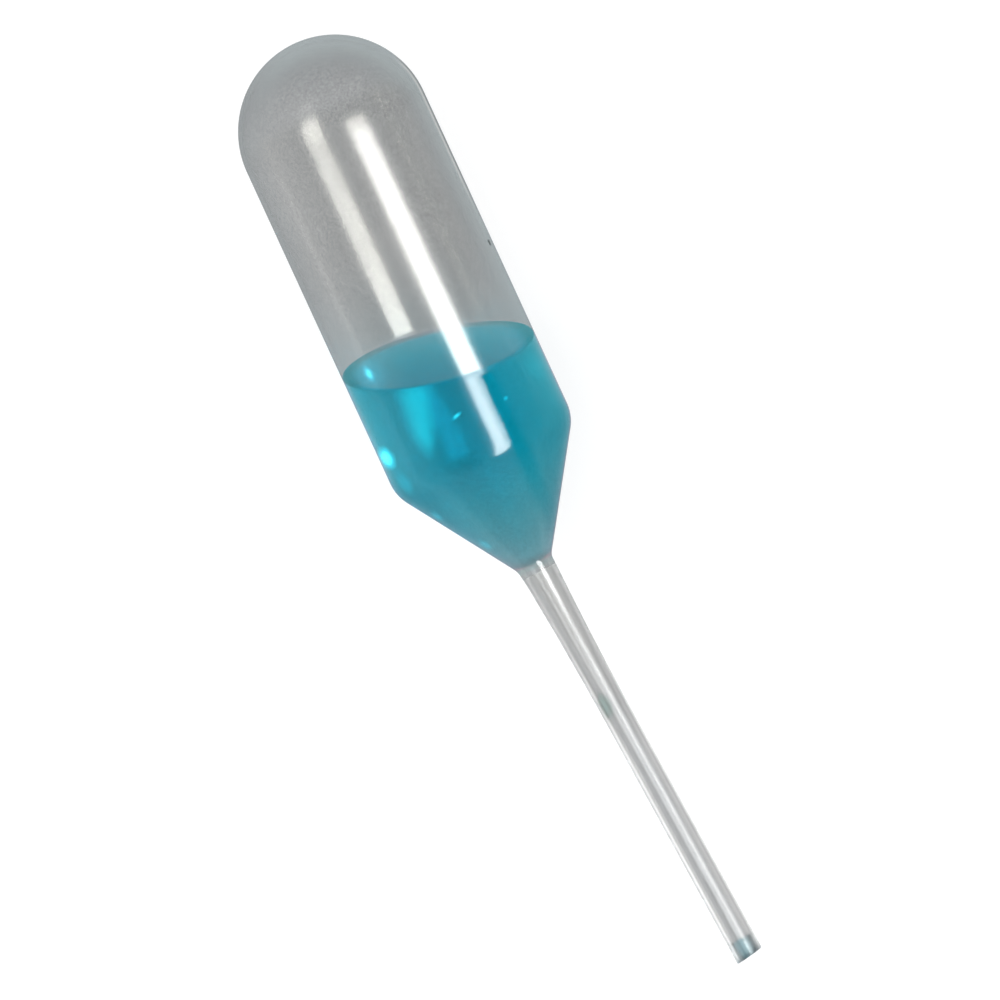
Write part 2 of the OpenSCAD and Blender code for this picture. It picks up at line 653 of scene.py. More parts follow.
@dataclass(frozen=True)
class Finish:
    """What every finish has: a name and a tree of its own."""

    name: str

    def start(self) -> tuple[bpy.types.Material, Bench]:
        """Makes an empty material.

        Returns:
            The material and the bench of its tree.
        """
        made = bpy.data.materials.new(self.name)
        made.use_nodes = True
        made.node_tree.nodes.clear()
        return made, Bench(made.node_tree)

    @staticmethod
    def shaded(bench: Bench, shader: Wire, shade: Colour) -> Wire:
        """The shader, with a plain film of the shade's tint where its shadow is worked out."""
        casting = bench.add("ShaderNodeLightPath", None, None, "Is Shadow Ray")
        return bench.mixed(casting, shader, bench.film(shade))


class BulbSpot:
    """What the film's finish reads at each spot of the bulb, with places in metres."""

    def __init__(self, bench: Bench, sizes: PipetteSizes) -> None:
        """Adds the nodes that read a spot.

        Args:
            bench: The tree's bench.
            sizes: The pipette's sizes.
        """
        self.bench = bench
        self.place = bench.place()
        x, y, z = bench.parts(self.place)
        self.along = x - sizes.dome_centre.x
        self.side = y - sizes.dome_centre.y
        self.top = z - sizes.dome_centre.z
        surface = sizes.surface_at + self.side * sizes.surface_side + self.top * sizes.surface_top
        self.past_surface = self.along - surface
        self.wet = self.past_surface.eased(-0.15 * MM, 0.15 * MM)
        self.near_wet = self.past_surface.eased(-11 * MM, -0.5 * MM)
        self.cone = self.along.eased(sizes.corner_at, sizes.neck_at)
        self.upper = self.top.eased(-MM, 0.0)
        self.aslant = bench.aslant()
        self.cloud = bench.noise(self.place, 120.0, 3.0, 0.6)
        self.grain = bench.noise(self.place, 4200.0, 1.0, 0.5) - 0.5


@dataclass(frozen=True)
class BulbFilm(Finish):
    """Thin translucent polyethylene, which lets the view straight through and dims it."""

    sizes: PipetteSizes
    pale: Colour = (0.69, 0.695, 0.695)
    deep: Colour = (0.535, 0.54, 0.545)
    cool: Colour = (0.61, 0.655, 0.67)
    rim: Colour = (0.615, 0.645, 0.65)
    wet: Colour = (0.685, 0.69, 0.735)
    murk: Colour = (0.56, 0.48, 0.505)
    verge: Colour = (0.46, 0.535, 0.59)
    collar: Colour = (0.55, 0.605, 0.605)
    mouth: Colour = (0.605, 0.61, 0.61)
    # Painted highlight line along one edge of the bulb.
    bright: Colour = (0.77, 0.765, 0.76)
    outline: Colour = (0.46, 0.47, 0.47)
    nick: Colour = (0.2, 0.22, 0.22)
    milk: Colour = (0.60, 0.66, 0.68)
    sheen: Colour = WHITE
    haze: float = 0.03
    edge_haze: float = 0.12
    neck_haze: float = 0.07
    shine: float = 0.034
    edge_shine: float = 0.018
    wet_shine: float = 1.0
    dome_shine: float = 0.1
    gloss_from: float = 0.8 * MM
    gloss_stop: float = 0.0
    rough: float = 0.26
    bump_m: float = 2.5e-6
    seam: float = 0.3
    seam_angle: float = math.radians(16.5)
    nick_at: float = 17.0 * MM

    def dry_wall(self, spot: BulbSpot) -> Wire:
        """The wall with air behind it: mottled, with a painted reflection band, and a painted
        highlight line and a dark line along the edge on one side.

        Args:
            spot: The spot that is coloured.

        Returns:
            The wall's shader.
        """
        bench, along, side, aslant = spot.bench, spot.along, spot.side, spot.aslant
        pale_share = 0.57 + spot.cloud * 0.5 + spot.grain * 1.2
        pale_share = pale_share - side * (0.25 / self.sizes.bulb_r) - aslant * 1.35
        # Painted reflection: a faint pale band on the upper side, where a side lamp would show in
        # the film.
        reflection_band = abs(side + 7.1 * MM).eased(0.05 * MM, 0.6 * MM, 0.2, 0.0) * spot.upper
        reflection_band = reflection_band * along.eased(MM, 5 * MM)
        dome = along.eased(-8 * MM, -2 * MM, 0.25, 0.0)
        pale_share = (pale_share + reflection_band - dome).least(1.0).most(0.0)
        wall = bench.mixed(pale_share, bench.film(self.deep), bench.film(self.pale))
        rim = (aslant + along.eased(-3 * MM, 0.0, 0.12, 0.0)).eased(0.24, 0.72)
        rim = rim * side.eased(-8 * MM, 0.0, 0.3, 1.0)
        past_dome = along.least(0.0)
        out = (side * side + past_dome * past_dome).root() - self.sizes.bulb_r
        # The band along one edge where a painted highlight line and a dark line go.
        lip = side.eased(0.0, MM) * along.eased(-5 * MM, -3 * MM) * along.falling(8 * MM, 16 * MM)
        lip = lip * aslant.eased(0.55, 0.7)
        return bench.layered(
            wall,
            (rim, self.rim),
            (spot.near_wet * (0.75 - 0.4 * aslant), self.cool),
            # A painted highlight line just inside the edge, then a dark line at the edge.
            (abs(out + 0.27 * MM).eased(0.04 * MM, 0.14 * MM, 0.8, 0.0) * lip, self.bright),
            (out.eased(-0.16 * MM, -0.08 * MM) * lip, self.outline),
        )

    def wet_wall(self, spot: BulbSpot) -> Wire:
        """The wall with liquid behind it: murkier down the cone, and with a collar at the neck.

        Args:
            spot: The spot that is coloured.

        Returns:
            The wall's shader.
        """
        along, side, neck_at = spot.along, spot.side, self.sizes.neck_at
        murk = spot.cone * 0.55 + along.eased(neck_at - MM, neck_at) * 0.35 + spot.grain * 0.9
        murky_line = abs(side + 2.8 * MM).eased(0.4 * MM, 3.4 * MM, 0.2, 0.0)
        murk = murk + murky_line * along.eased(34 * MM, 37 * MM)
        verge = along.eased(33 * MM, 38 * MM) * along.eased(43 * MM, 48 * MM, 0.8, 0.4)
        verge = verge * spot.aslant.eased(0.15, 0.7) * side.eased(4 * MM, 7 * MM, 1.0, 0.75)
        return spot.bench.layered(
            spot.bench.film(self.wet),
            (murk.most(0.0).least(1.0), self.murk),
            (verge + side.eased(-7 * MM, -3 * MM, 0.2, 0.0), self.verge),
            (along.eased(neck_at - 0.2 * MM, neck_at + 0.4 * MM), self.collar),
            (along.eased(neck_at + 0.2 * MM, neck_at + 1.1 * MM), self.mouth),
        )

    def shining(self, spot: BulbSpot) -> Wire:
        """How strongly each spot shines: ragged over the liquid, and little on the dome.

        Args:
            spot: The spot that shines.

        Returns:
            The gloss's share.
        """
        shine = self.shine + (self.edge_shine - self.shine) * spot.aslant.eased(0.1, 0.6)
        stray = (spot.bench.noise(spot.place, 1500.0, 2.0, 0.6) - 0.5) * 0.6 * MM
        ragged = (spot.side + stray).eased(2.85 * MM, 3.3 * MM)
        ragged = 1.0 - ragged * spot.upper * spot.side.falling(4 * MM, 5 * MM)
        ragged = ragged * self.wet_shine * spot.side.eased(2.15 * MM, 3 * MM, 1.35, 0.75)
        damp = spot.past_surface - spot.top.eased(0.0, 4 * MM, 0.0, 0.4 * MM)
        damp = damp.eased(self.gloss_stop - 0.15 * MM, self.gloss_stop + 0.15 * MM)
        shine = shine * (1.0 + (ragged - 1.0) * damp)
        start, whole = self.gloss_from - 0.9 * MM, self.gloss_from + 0.9 * MM
        return shine * spot.along.eased(start, whole, self.dome_shine, 1.0)

    def build(self) -> bpy.types.Material:
        """Makes the material.

        Returns:
            The material.
        """
        made, bench = self.start()
        spot = BulbSpot(bench, self.sizes)
        along, wet, aslant = spot.along, spot.wet, spot.aslant
        through = bench.mixed(wet, self.dry_wall(spot), self.wet_wall(spot))

        off_seam = spot.top * math.cos(self.seam_angle) - spot.side * math.sin(self.seam_angle)
        seam = abs(off_seam).eased(0.03 * MM, 0.16 * MM, self.seam, 0.0)
        seam = seam * along.eased(19 * MM, 24 * MM, 1.0, 0.35)
        rim = aslant.eased(0.55, 0.9) * self.edge_haze
        haze = (self.haze + rim) * (1.0 - wet) + (rim * 0.3 + self.neck_haze * spot.cone) * wet
        ripple = bench.noise(spot.place, 4600.0, 2.0, 0.6) * (0.15 + 0.85 * wet)
        normal = bench.bump(ripple * aslant.falling(0.1, 0.35), self.bump_m)
        matt = {"Base Color": self.milk, "Roughness": 0.6, "Specular IOR Level": 0.0}
        milk = bench.add("ShaderNodeBsdfPrincipled", None, {**matt, "Normal": normal})
        body = bench.mixed(haze.most(seam), through, milk)
        if self.seam:
            nick = abs(along - self.nick_at).falling(0.15 * MM, 0.45 * MM)
            nick = nick * abs(off_seam + 0.1 * MM).falling(0.15 * MM, 0.5 * MM)
            body = bench.layered(body, (nick * spot.side.eased(0.0, MM), self.nick))

        rough = self.rough * (0.85 + 0.3 * spot.cloud) * (1.0 - 0.32 * spot.near_wet)
        sockets = {"Color": self.sheen, "Roughness": rough, "Normal": normal}
        gloss = bench.add("ShaderNodeBsdfGlossy", None, sockets)
        surface = bench.mixed(self.shining(spot), body, gloss)
        bench.node("ShaderNodeOutputMaterial", None, {"Surface": surface})
        return made


@dataclass(frozen=True)
class ShadeStreak:
    """Painted shade: a darker streak along the stem, given by its place on the stem's width, half
    width and depth.
    """

    place: float
    spread: float
    depth: float


@dataclass(frozen=True)
class StemPlastic(Finish):
    """Thick-walled drawn polyethylene, which bends the view and has streaks along it, some of them
    painted shade.
    """

    sizes: PipetteSizes
    clear: Colour = (0.93, 0.94, 0.94)
    streak: Colour = (0.84, 0.85, 0.85)
    milky: Colour = (0.58, 0.585, 0.58)
    cut: Colour = (0.27, 0.3, 0.31)
    band: Colour = (0.47, 0.475, 0.475)
    outline: Colour = (0.42, 0.43, 0.43)
    streaked: bool = True
    ior: float = 1.51
    rough: float = 0.3
    gloss: Colour = (0.55, 0.55, 0.55)
    neck_shine: float = 0.03
    lines: float = 2.6
    bump_m: float = 4e-7
    shade: Colour = (0.82, 0.83, 0.83)
    # Painted shade streaks on the stem's upper half: dark edges, darker lines and a broad shade on
    # one side.
    neck_shade_streaks: tuple[ShadeStreak, ...] = (
        ShadeStreak(-0.95, 0.29, 0.75),
        ShadeStreak(-0.31, 0.17, 0.37),
        ShadeStreak(-0.08, 0.13, 0.34),
        ShadeStreak(0.31, 0.2, 0.4),
        ShadeStreak(0.71, 0.09, 0.16),
        ShadeStreak(0.97, 0.18, 0.66),
    )
    stem_shade_streaks: tuple[ShadeStreak, ...] = (
        ShadeStreak(-0.95, 0.22, 0.8),
        ShadeStreak(-0.67, 0.15, 0.56),
        ShadeStreak(-0.23, 0.18, 0.35),
        ShadeStreak(0.19, 0.3, 0.1),
        ShadeStreak(0.57, 0.22, 0.56),
        ShadeStreak(0.8, 0.3, 0.77),
    )

    @staticmethod
    def kept(reach: Wire, streaks: tuple[ShadeStreak, ...]) -> Wire:
        """The share of the light that gets past all the streaks.

        Args:
            reach: The place on the stem's width, from minus one to one.
            streaks: The streaks.

        Returns:
            The share.
        """
        return math.prod(
            abs(reach - streak.place).eased(0.0, streak.spread, 1.0 - streak.depth, 1.0)
            for streak in streaks
        )

    def build(self) -> bpy.types.Material:
        """Makes the material.

        Returns:
            The material.
        """
        made, bench = self.start()
        place = bench.place()
        x, y, z = bench.parts(place)
        start = self.sizes.dome_centre + Vector((self.sizes.bend_at, 0.0, 0.0))
        cos, sin = math.cos(self.sizes.bend_angle), math.sin(self.sizes.bend_angle)
        along = (x - start.x) * cos + (y - start.y) * sin
        side = (y - start.y) * cos - (x - start.x) * sin
        top = z - start.z
        radius = (side * side + top * top).root().most(0.1 * MM)
        reach = side / radius
        aslant = bench.aslant()

        drawn = bench.joined(reach * self.lines, top / radius * self.lines, along * 14.0)
        streaks = bench.noise(drawn, 1.0, 4.0, 0.6)
        cloud = bench.noise(place, 900.0, 2.0, 0.6)
        share = (streaks * 0.9 + cloud * 0.1).eased(0.38, 0.66)
        colour = bench.blend(share, self.clear, self.streak)
        if not self.streaked:
            band = aslant.eased(0.08, 0.15) * aslant.falling(0.33, 0.42)
            colour = bench.blend(band, colour, self.band)
        least = along.eased(3 * MM, 6 * MM, 0.55, 0.3)
        milky = least + (1.0 - least) * reach.eased(-0.75, -0.25)
        colour = bench.blend(along.falling(2 * MM, 26 * MM) * milky, colour, self.milky)

        tip = self.sizes.tip_at - self.sizes.bend_at
        end = along + side * math.tan(self.sizes.tip_cut_angle)
        if self.streaked:
            # Painted shade: the streaks darken the stem's upper half towards black.
            at_neck = self.kept(reach, self.neck_shade_streaks)
            at_stem = self.kept(reach, self.stem_shade_streaks)
            kept = at_neck + (at_stem - at_neck) * along.eased(6 * MM, 20 * MM)
            dim = (1.0 - kept) * top.eased(-0.5 * MM, 0.1 * MM)
            colour = bench.blend(dim, colour, BLACK)
            damp = end.eased(tip - 2.1 * MM, tip - 1.8 * MM) * reach.eased(0.6, 0.72)
            colour = bench.blend(damp * 0.35, colour, self.cut)
        else:
            colour = bench.blend(aslant.eased(0.5, 0.85), colour, self.outline)
        colour = bench.blend(end.eased(tip - 0.7 * MM, tip), colour, self.cut)

        sockets: Sockets = {
            "Base Color": colour,
            "Roughness": self.rough * (0.9 + 0.2 * streaks),
            "IOR": self.ior,
            "Specular Tint": self.gloss,
            "Transmission Weight": 1.0,
            "Normal": bench.bump(streaks, self.bump_m),
        }
        plastic = bench.add("ShaderNodeBsdfPrincipled", None, sockets)
        if self.neck_shine:
            gloss = bench.add("ShaderNodeBsdfGlossy", None, {"Color": WHITE, "Roughness": 0.1})
            shine = along.eased(3 * MM, 9 * MM, self.neck_shine, 0.0)
            plastic = bench.mixed(shine, plastic, gloss)
        surface = self.shaded(bench, plastic, self.shade)
        bench.node("ShaderNodeOutputMaterial", None, {"Surface": surface})
        return made


@dataclass(frozen=True)
class Glow:
    """A painted patch of light in the liquid, with its half width at each end and how much of it is
    even.

    Its ends are along and to the side, in millimetres from the dome's centre.
    """

    start: Point
    end: Point
    wide: float
    narrow: float
    strength: float
    even: float = 0.0

    def on(self, x: Wire, y: Wire, stray: Wire) -> Wire:
        """How brightly the patch shines.

        Args:
            x: The place along the bulb, in the frame.
            y: The place to the side, in the frame.
            stray: A pattern round nought that frays the patch.

        Returns:
            The share of the glow's colour.
        """
        start, end = Vector(self.start) * MM, Vector(self.end) * MM
        way = end - start
        length = way.length
        way.normalize()
        along = ((x - start.x) * way.x + (y - start.y) * way.y) / length
        off = (y - start.y) * way.x - (x - start.x) * way.y
        width = self.wide * MM + (self.narrow - self.wide) * MM * along.least(1.0).most(0.0)
        across = off / width + stray * 0.3
        uneven = (abs(along * 2.0 - 1.0) - self.even).most(0.0) / (1.0 - self.even)
        lengthwise = uneven + stray * 0.2
        off = (across * across + lengthwise * lengthwise).root()
        return off.eased(0.1, 1.0, self.strength, 0.0)


@dataclass(frozen=True)
class DyedWater(Finish):
    """Clear blue-green liquid that takes up more of the light the further it goes."""

    sizes: PipetteSizes
    tint: Colour = (0.99, 1.0, 1.0)
    dull: Colour = (0.95, 0.96, 0.97)
    taken: Colour = (281.0, 34.0, 24.6)
    ior: float = 1.333
    rough: float = 0.03
    # Painted light: an even glow and the glows' patches shine from the liquid, which is no lamp.
    lit: float = 0.0
    glows: tuple[Glow, ...] = ()
    glows_above: float = 0.0
    fades: bool = False
    fade_side: float = 0.82
    fade_top: float = 0.78
    faded: Colour = (0.97, 0.98, 0.98)
    glow: Colour = (0.01, 0.6, 0.7)
    spark: Colour = (0.2, 2.0, 2.1)
    shade: Colour = (0.35, 0.8, 0.87)

    HEADROOM: ClassVar[float] = 1.04

    def fading(self, bench: Bench) -> Any:
        """How far the liquid thins out towards the bulb's wall.

        Args:
            bench: The tree's bench.

        Returns:
            Nought well inside, and one at the wall.
        """
        if not self.fades:
            return 0.0
        _, y, z = bench.parts(bench.place())
        side = (y - self.sizes.dome_centre.y) / (self.fade_side * self.sizes.bulb_r)
        top = (z - self.sizes.dome_centre.z).least(0.0) / (self.fade_top * self.sizes.bulb_r)
        return (side * side + top * top).root().eased(0.98, 1.2)

    def glowing(self, bench: Bench) -> Wire:
        """How brightly each place shines.

        Args:
            bench: The tree's bench.

        Returns:
            The share of the glow's colour.
        """
        place = bench.place()
        stray = bench.noise(place, 700.0, 3.0, 0.6) - 0.5
        x, y, z = bench.parts(place)
        total: Any = self.lit * (1.0 + stray) * (1.0 - 0.4 * self.fading(bench))
        for glow in self.glows:
            total = total + glow.on(x, y, stray)
        return total * (z - self.sizes.dome_centre.z - self.glows_above).eased(0.0, 2 * MM)

    def build(self) -> bpy.types.Material:
        """Makes the material.

        Returns:
            The material.
        """
        made, bench = self.start()
        cloud = bench.noise(bench.place(), 180.0, 2.0, 0.5)
        colour = bench.blend(cloud.eased(0.35, 0.7), self.tint, self.dull)
        if self.fades:
            colour = bench.blend(self.fading(bench), colour, self.faded)
        sockets: Sockets = {
            "Base Color": colour,
            "Roughness": self.rough,
            "IOR": self.ior,
            "Transmission Weight": 1.0,
        }
        # Painted light: the glows go out as emission in the glow colour, the strongest spots in the
        # spark colour.
        if self.lit:
            glowing = self.glowing(bench)
            light = bench.blend(glowing, BLACK, self.glow)
            sockets["Emission Color"] = bench.blend((glowing - 1.0).most(0.0), light, self.spark)
            sockets["Emission Strength"] = 1.0
        water = bench.add("ShaderNodeBsdfPrincipled", None, sockets)
        if self.fades:
            water = bench.layered(water, (self.fading(bench), self.faded))
        density = max(self.taken) * self.HEADROOM
        left = tuple(1.0 - share / density for share in self.taken)
        dye = {"Color": left, "Density": density}
        volume = bench.add("ShaderNodeVolumeAbsorption", None, dye)
        surface = self.shaded(bench, water, self.shade)
        bench.node("ShaderNodeOutputMaterial", None, {"Surface": surface, "Volume": volume})
        return made


# ---------------------------------------------------------------- the pipette


@dataclass
class PipetteBody:
    """The whole plastic body: dome, bulb, shoulder, neck and open stem."""

    sizes: PipetteSizes
    lathe: Lathe
    neck_round: float = 1.5 * MM
    tube_from: float = 2.6 * MM
    bore_round: float = 200 * MM
    lip: float = 0.07 * MM
    lip_depth: float = 0.3 * MM
    cut_start: float = 5 * MM
    cut_whole: float = 0.4 * MM
    dome_steps: int = 40
    shoulder_steps: int = 16
    taper_steps: int = 24
    lip_steps: int = 8
    piece: bpy.types.Object | None = None

    def outside(self, made: Outline) -> None:
        """Adds the outside, from the dome's top down to the tip's lip.

        Args:
            made: The outline.
        """
        s = self.sizes
        dome = Outline.arc(0.0, s.bulb_r, math.pi, math.pi / 2, self.dome_steps)
        made.extend(dome, Zone.SKIN)
        slim = (s.neck_r - s.waist_r) / s.waist_len
        cone = math.tan(s.cone_angle)
        wide = s.bulb_r + s.corner_at * cone - s.neck_r - s.bend_at * slim
        meet = wide / (cone - slim)
        tube_at = s.bend_at + self.tube_from
        corners = [
            (0.0, s.bulb_r, 0.0),
            (s.corner_at, s.bulb_r, s.shoulder_r),
            (meet, s.cone_radius(meet), self.neck_round),
            (tube_at, s.stem_radius(self.tube_from), 0.0),
        ]
        made.extend(Outline.rounded(corners, self.shoulder_steps), Zone.SKIN)
        left, count = s.taper_len - self.tube_from, self.taper_steps
        steps = [self.tube_from + left * i / count for i in range(count + 1)]
        made.extend([(s.bend_at + step, s.stem_radius(step)) for step in steps], Zone.TUBE)

    def inside(self, made: Outline) -> None:
        """Adds the tip's lip and the inside, from the bore back to the dome's top.

        Args:
            made: The outline.
        """
        s = self.sizes
        taper_at = s.bend_at + s.taper_len
        lip = [
            (taper_at, s.stem_r, 0.0),
            (s.tip_at, s.stem_r, self.lip),
            (s.tip_at, s.stem_bore_r, self.lip),
            (s.tip_at - self.lip_depth, s.stem_bore_r, 0.0),
        ]
        made.extend(Outline.rounded(lip, self.lip_steps), Zone.TUBE)
        tube_at = s.bend_at + self.tube_from
        bore = [
            lip[-1],
            (taper_at, s.stem_bore_r, self.bore_round),
            (tube_at, s.bore_radius(tube_at), 0.0),
        ]
        made.extend(Outline.rounded(bore, self.lip_steps), Zone.BORE)
        meet = s.cone_along(s.bore_radius(s.neck_at), s.wall)
        inner_r = s.bulb_r - s.wall
        lining = [
            bore[-1],
            (meet, s.bore_radius(meet), self.neck_round - s.wall),
            (s.cone_along(inner_r, s.wall), inner_r, s.shoulder_r - s.wall),
            (0.0, inner_r, 0.0),
        ]
        made.extend(Outline.rounded(lining, self.shoulder_steps), Zone.LINING)
        dome = Outline.arc(0.0, inner_r, math.pi / 2, math.pi, self.dome_steps)
        made.extend(dome, Zone.LINING)

    def finishes(self) -> dict[Zone, bpy.types.Material]:
        """The body's materials.

        Returns:
            The material of each zone.
        """
        clear, dim = (0.99, 0.99, 0.99), (0.98, 0.98, 0.98)
        lining = BulbFilm(
            "bulb_lining",
            self.sizes,
            **dict.fromkeys(("pale", "wet", "bright"), clear),
            **dict.fromkeys(("deep", "rim", "murk", "verge", "collar", "mouth", "outline"), dim),
            **dict.fromkeys(("haze", "edge_haze", "neck_haze", "seam"), 0.0),
            cool=(0.98, 0.99, 0.99),
            sheen=(1.0, 0.965, 0.87),
            gloss_from=-2.4 * MM,
            gloss_stop=-0.45 * MM,
            shine=0.125,
            edge_shine=0.02,
            wet_shine=0.02,
            rough=0.21,
        )
        bore = StemPlastic(
            "stem_bore",
            self.sizes,
            clear=(0.60, 0.61, 0.615),
            streak=(0.42, 0.43, 0.435),
            milky=(0.80, 0.80, 0.79),
            cut=(0.27, 0.31, 0.32),
            band=(0.45, 0.455, 0.46),
            streaked=False,
            neck_shine=0.0,
        )
        return {
            Zone.SKIN: BulbFilm("bulb_skin", self.sizes).build(),
            Zone.LINING: lining.build(),
            Zone.TUBE: StemPlastic("stem_plastic", self.sizes).build(),
            Zone.BORE: bore.build(),
        }

    def build(self) -> "PipetteBody":
        """Makes the mesh.

        Returns:
            This body.
        """
        section = Outline()
        self.outside(section)
        self.inside(section)
        cut = self.sizes.tip_cut(self.cut_start, self.cut_whole)
        self.piece = self.lathe.turn("pipette_plastic", section, self.finishes(), cut)
        return self

    def dress(self) -> None:
        """Fixes the piece to the frame."""
        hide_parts("pipette_body")
        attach(self.piece, "root")


@dataclass
class Contents:
    """The liquid: a pool in the bulb's cone, a droplet in the stem and a plug in the tip."""

    sizes: PipetteSizes
    lathe: Lathe
    pool_inset: float = 0.07 * MM
    pool_rings: int = 12
    lean_start: float = 9.4 * MM
    lean_whole: float = 0.2 * MM
    soak: float = 0.02 * MM
    plug_gap: float = 0.05 * MM
    plug_round: float = 0.12 * MM
    plug_step: float = 0.3 * MM
    plug_segments: int = 64
    cut_start: float = 1.4 * MM
    cut_whole: float = 0.25 * MM
    droplet_sunk: float = 0.25
    corner_steps: int = 16
    ball_steps: int = 10
    plug_steps: int = 8
    plug_corner_steps: int = 6
    pieces: dict[str, bpy.types.Object] = field(default_factory=dict)

    # Painted glows at given places: light patches on the liquid's surface and sides.
    SURFACE_GLOWS: ClassVar[tuple[Glow, ...]] = (
        Glow((-19.7, -7.45), (-17.2, -7.05), 0.62, 0.55, 1.1),
        Glow((-20.8, -7.7), (-15.8, -6.5), 2.0, 1.9, 0.26),
    )
    SIDE_GLOWS: ClassVar[tuple[Glow, ...]] = (
        Glow((-17.5, -3.4), (-7.2, -5.3), 3.2, 1.2, 0.78, 0.25),
        Glow((-14.5, 8.4), (-9.5, 8.6), 1.5, 1.5, 0.12),
        Glow((-11.4, -9.4), (-8.2, -9.0), 1.0, 0.9, 1.9),
        Glow((-8.5, -8.9), (-4.8, -8.3), 1.0, 0.8, 0.3),
        Glow((-10.5, -1.6), (-10.9, -0.1), 0.35, 0.25, 1.3),
        Glow((-10.1, 4.1), (-10.4, 4.8), 0.3, 0.25, 0.7),
        Glow((-15.3, 0.9), (-14.9, 1.4), 0.25, 0.25, 1.2),
        Glow((-14.2, 3.2), (-13.7, 3.6), 0.25, 0.25, 1.0),
        Glow((-3.2, -7.6), (-1.3, -6.4), 0.5, 0.4, 0.4),
        Glow((1.6, -4.4), (3.4, -3.0), 0.5, 0.4, 0.4),
    )

    @staticmethod
    def ball(rim_r: float, height: float) -> tuple[float, float]:
        """The radius of the ball whose cap has this rim and height, and half the cap's angle."""
        radius = (rim_r**2 + height**2) / (2 * height)
        return radius, math.asin(rim_r / radius)

    def pool(self, surface: bpy.types.Material, wall: bpy.types.Material) -> bpy.types.Object:
        """The liquid in the bulb, with a leaning flat surface, which reaches into the clear wall.

        Args:
            surface: The flat surface's material.
            wall: The material of the sides and the lower end.

        Returns:
            The piece.
        """
        s = self.sizes
        inset, rings = self.pool_inset, self.pool_rings
        r = s.bulb_r - inset
        made = Outline()
        made.extend([(s.surface_at, r * i / rings) for i in range(rings + 1)], Zone.SKIN)
        rim_at = s.neck_at - s.lower_rim_inset
        rim_r = s.cone_radius(rim_at, inset)
        side = [
            (s.surface_at, r, 0.0),
            (s.cone_along(r, inset), r, s.shoulder_r - inset),
            (rim_at, rim_r, 0.0),
        ]
        made.extend(Outline.rounded(side, self.corner_steps), Zone.TUBE)
        ball, half = self.ball(rim_r, s.lower_bulge)
        bulge = Outline.arc(rim_at + s.lower_bulge - ball, ball, half, 0.0, self.ball_steps)
        made.extend(bulge, Zone.TUBE)
        start, whole = s.surface_at + self.lean_start, s.surface_at + self.lean_whole
        lean = Slope(s.surface_side, s.surface_top, start, whole)
        return self.lathe.turn("bulb_contents", made, {Zone.SKIN: surface, Zone.TUBE: wall}, lean)

    def plug(self, finish: bpy.types.Material) -> bpy.types.Object:
        """The liquid that stands in the open tip.

        Args:
            finish: The liquid's material.

        Returns:
            The piece.
        """
        s = self.sizes
        r = s.stem_bore_r + self.soak
        ball, half = self.ball(r, s.plug_dish)
        start, end = s.tip_at - s.plug_len, s.tip_at - self.plug_gap
        dish = Outline.arc(start + s.plug_dish - ball, ball, 0.0, half, self.plug_steps)
        wall = [(start, r, 0.0), (end, r, self.plug_round), (end, 0.0, 0.0)]
        made = Outline()
        for stretch in (dish, Outline.rounded(wall, self.plug_corner_steps)):
            made.extend(stretch, Zone.SKIN, self.plug_step)
        cut = s.tip_cut(self.cut_start, self.cut_whole)
        return self.lathe.turn("tip_plug", made, {Zone.SKIN: finish}, cut, self.plug_segments)

    def droplet(self, finish: bpy.types.Material) -> bpy.types.Object:
        """The droplet that clings to one side of the bore.

        Args:
            finish: The liquid's material.

        Returns:
            The piece.
        """
        s = self.sizes
        work = bmesh.new()
        bmesh.ops.create_icosphere(work, subdivisions=4, radius=1.0)
        bore = s.bore_radius(s.bend_at + s.droplet_at)
        cos, sin = math.cos(s.bend_angle), math.sin(s.bend_angle)
        sunk = self.droplet_sunk
        for vertex in work.verts:
            p = vertex.co.copy()
            lift = max(p.z, -sunk) + sunk
            along = s.droplet_at + p.x * s.droplet_len / 2
            turn = s.droplet_spread * p.y
            radius = bore + self.soak - lift / (1.0 + sunk) * s.droplet_h
            side, top = -radius * math.cos(turn), radius * math.sin(turn)
            bent = Vector((s.bend_at + along * cos - side * sin, along * sin + side * cos, top))
            vertex.co = s.dome_centre + bent
        mesh = bpy.data.meshes.new("stem_drop")
        work.to_mesh(mesh)
        work.free()
        mesh.materials.append(finish)
        return tidy(put("stem_drop", mesh))

    def build(self) -> "Contents":
        """Makes the three meshes.

        Returns:
            These contents.
        """
        surface = DyedWater(
            "still_surface",
            self.sizes,
            tint=(0.38, 0.93, 1.0),
            dull=(0.33, 0.9, 0.99),
            ior=1.16,
            lit=0.22,
            glows=self.SURFACE_GLOWS,
            fades=True,
            glows_above=-20 * MM,
            glow=(0.005, 0.5, 0.75),
        )
        side = DyedWater(
            "pool_side", self.sizes, ior=1.0, rough=0.0, lit=0.02, glows=self.SIDE_GLOWS
        )
        drop = DyedWater(
            "clinging_drop",
            self.sizes,
            tint=(0.92, 0.98, 0.94),
            dull=(0.83, 0.91, 0.87),
            taken=(170.0, 80.0, 95.0),
        )
        caught = DyedWater(
            "tip_liquid",
            self.sizes,
            tint=(0.87, 0.91, 0.92),
            dull=(0.79, 0.84, 0.85),
            taken=(250.0, 100.0, 70.0),
        )
        self.pieces = {
            "bulb_liquid": self.pool(surface.build(), side.build()),
            "stem_droplet": self.droplet(drop.build()),
            "tip_liquid": self.plug(caught.build()),
        }
        return self

    def dress(self) -> None:
        """Fixes the pieces to the frame."""
        for node, piece in self.pieces.items():
            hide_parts(node)
            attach(piece, "root")


# ---------------------------------------------------------------- the studio


